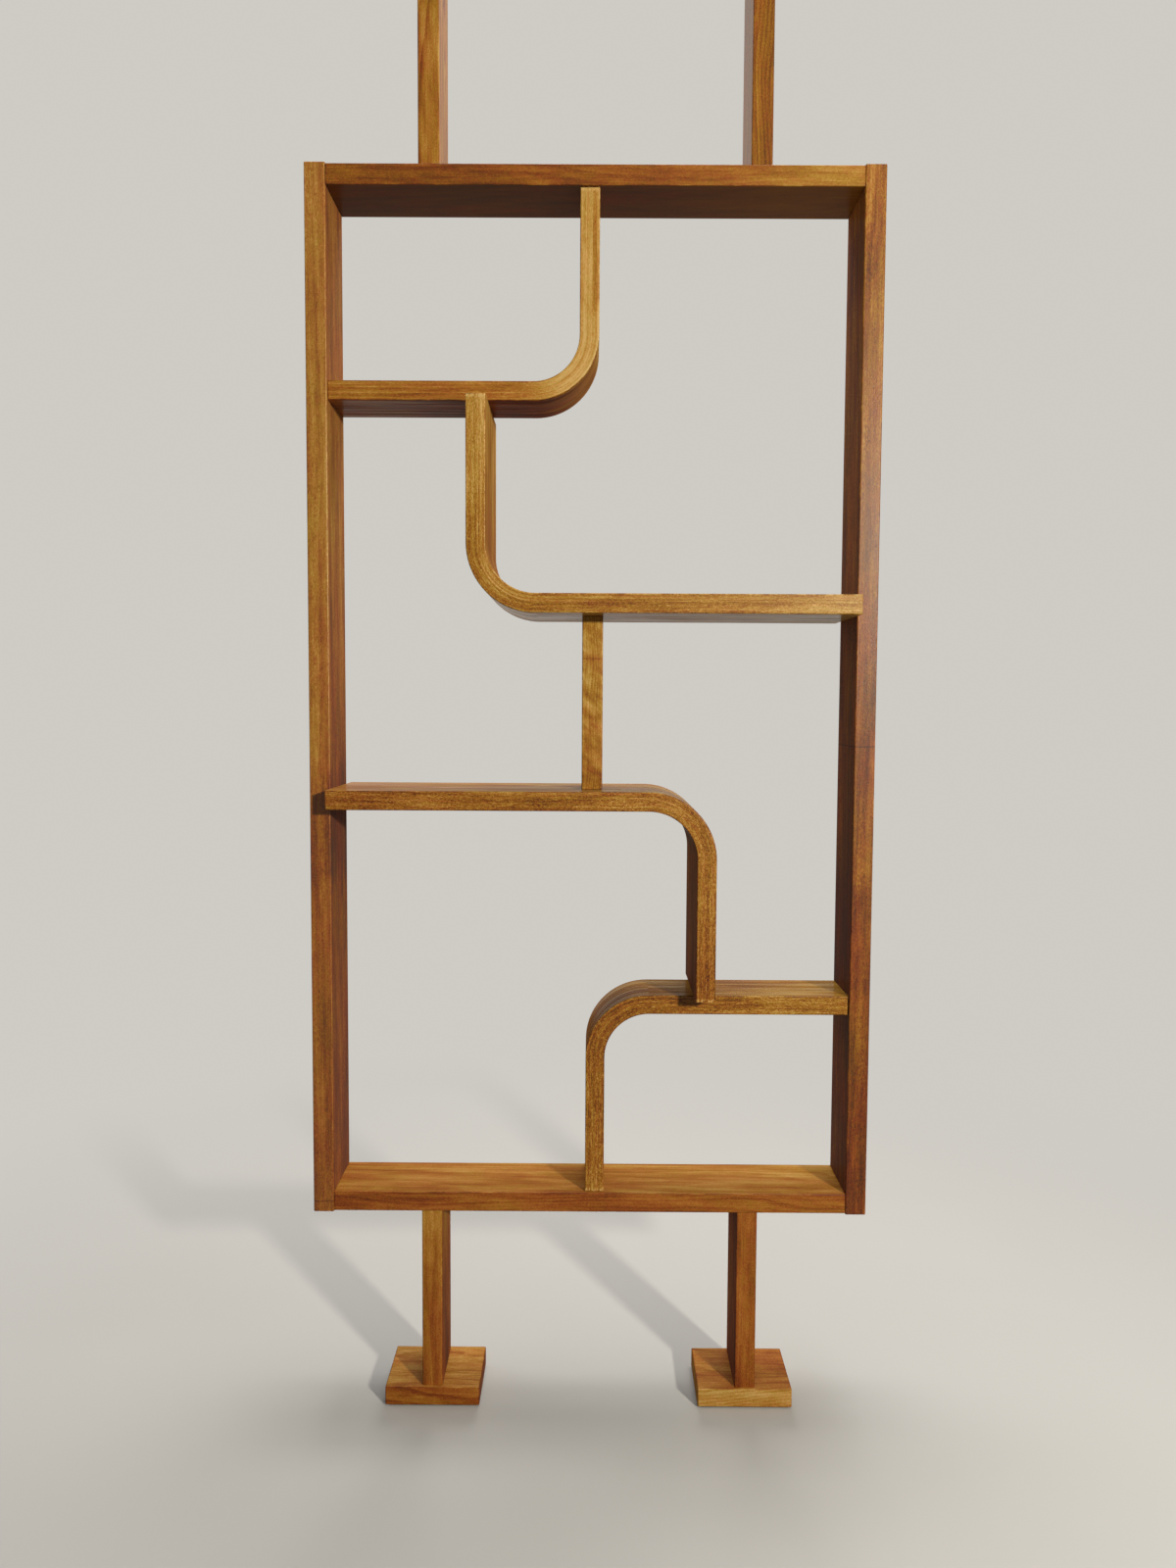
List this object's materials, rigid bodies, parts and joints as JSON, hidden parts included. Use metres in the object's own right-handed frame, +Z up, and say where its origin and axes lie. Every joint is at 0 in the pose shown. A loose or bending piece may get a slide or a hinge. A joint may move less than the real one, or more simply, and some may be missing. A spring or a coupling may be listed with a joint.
{
  "type": "room divider",
  "caption": "Floor to ceiling room divider: a tall stained beech frame with bent laminated shelves, legs on foot plates, and posts with screw jacks.",
  "frame": {"origin": "on the floor, below the middle of the frame, half way between its front and back", "axes": "+Z up, +X to the right seen from the front, the front faces -Y"},
  "size_m": [0.87, 0.202, 2.4882],
  "materials": {
    "stained_beech": "satin lacquer over stain",
    "laminated_beech": "satin lacquer over stain, fine glue lines on the edges",
    "bare_beech": "bare",
    "steel": "dull zinc",
    "felt": "matte felt"
  },
  "bodies": {
    "frame": {"bottom_rail": "stained_beech", "centre_post": "stained_beech", "corner_shelf_lower": "laminated_beech", "corner_shelf_upper": "laminated_beech", "deep_shelf_lower": "laminated_beech", "deep_shelf_upper": "laminated_beech", "dowel_bottom_rail_left_1": "bare_beech", "dowel_bottom_rail_left_2": "bare_beech", "dowel_bottom_rail_right_1": "bare_beech", "dowel_bottom_rail_right_2": "bare_beech", "dowel_centre_post_foot_1": "bare_beech", "dowel_centre_post_head_1": "bare_beech", "dowel_corner_shelf_lower_end_1": "bare_beech", "dowel_corner_shelf_lower_end_2": "bare_beech", "dowel_corner_shelf_lower_foot_1": "bare_beech", "dowel_corner_shelf_lower_foot_2": "bare_beech", "dowel_corner_shelf_upper_end_1": "bare_beech", "dowel_corner_shelf_upper_end_2": "bare_beech", "dowel_corner_shelf_upper_head_1": "bare_beech", "dowel_corner_shelf_upper_head_2": "bare_beech", "dowel_deep_shelf_lower_end_1": "bare_beech", "dowel_deep_shelf_lower_end_2": "bare_beech", "dowel_deep_shelf_lower_foot_1": "bare_beech", "dowel_deep_shelf_lower_foot_2": "bare_beech", "dowel_deep_shelf_upper_end_1": "bare_beech", "dowel_deep_shelf_upper_end_2": "bare_beech", "dowel_deep_shelf_upper_head_1": "bare_beech", "dowel_deep_shelf_upper_head_2": "bare_beech", "dowel_top_rail_left_1": "bare_beech", "dowel_top_rail_left_2": "bare_beech", "dowel_top_rail_right_1": "bare_beech", "dowel_top_rail_right_2": "bare_beech", "foot_pad_left": "felt", "foot_pad_right": "felt", "foot_plate_left": "stained_beech", "foot_plate_right": "stained_beech", "guide_bush_left": "steel", "guide_bush_right": "steel", "leg_left": "stained_beech", "leg_right": "stained_beech", "top_rail": "stained_beech", "upper_post_left": "stained_beech", "upper_post_right": "stained_beech", "upright_left": "stained_beech", "upright_right": "stained_beech"},
    "nut_left": {"jack_nut_left": "steel"},
    "ceiling_left": {"ceiling_pad_left": "felt", "ceiling_plate_left": "stained_beech", "jack_spindle_left": "steel", "plate_screw_left_1": "steel", "plate_screw_left_2": "steel", "plate_screw_left_3": "steel"},
    "nut_right": {"jack_nut_right": "steel"},
    "ceiling_right": {"ceiling_pad_right": "felt", "ceiling_plate_right": "stained_beech", "jack_spindle_right": "steel", "plate_screw_right_1": "steel", "plate_screw_right_2": "steel", "plate_screw_right_3": "steel"}
  },
  "joints": [
    {"name": "jack_nut_left_turn", "type": "hinge", "parent": "frame", "child": "nut_left", "pos_m": [-0.249, 0, 2.4126], "axis": [0, 0, -1], "range_deg": [-2690, 6290]},
    {"name": "ceiling_plate_left_lift", "type": "slide", "parent": "frame", "child": "ceiling_left", "axis": [0, 0, 1], "range_m": [-0.03, 0.07]},
    {"name": "jack_nut_right_turn", "type": "hinge", "parent": "frame", "child": "nut_right", "pos_m": [0.249, 0, 2.4126], "axis": [0, 0, -1], "range_deg": [-2690, 6290]},
    {"name": "ceiling_plate_right_lift", "type": "slide", "parent": "frame", "child": "ceiling_right", "axis": [0, 0, 1], "range_m": [-0.03, 0.07]}
  ],
  "couplings": [
    {"joint": "ceiling_plate_left_lift", "follows": "jack_nut_left_turn", "m_per_rad": 0.00063662},
    {"joint": "ceiling_plate_right_lift", "follows": "jack_nut_right_turn", "m_per_rad": 0.00063662}
  ]
}
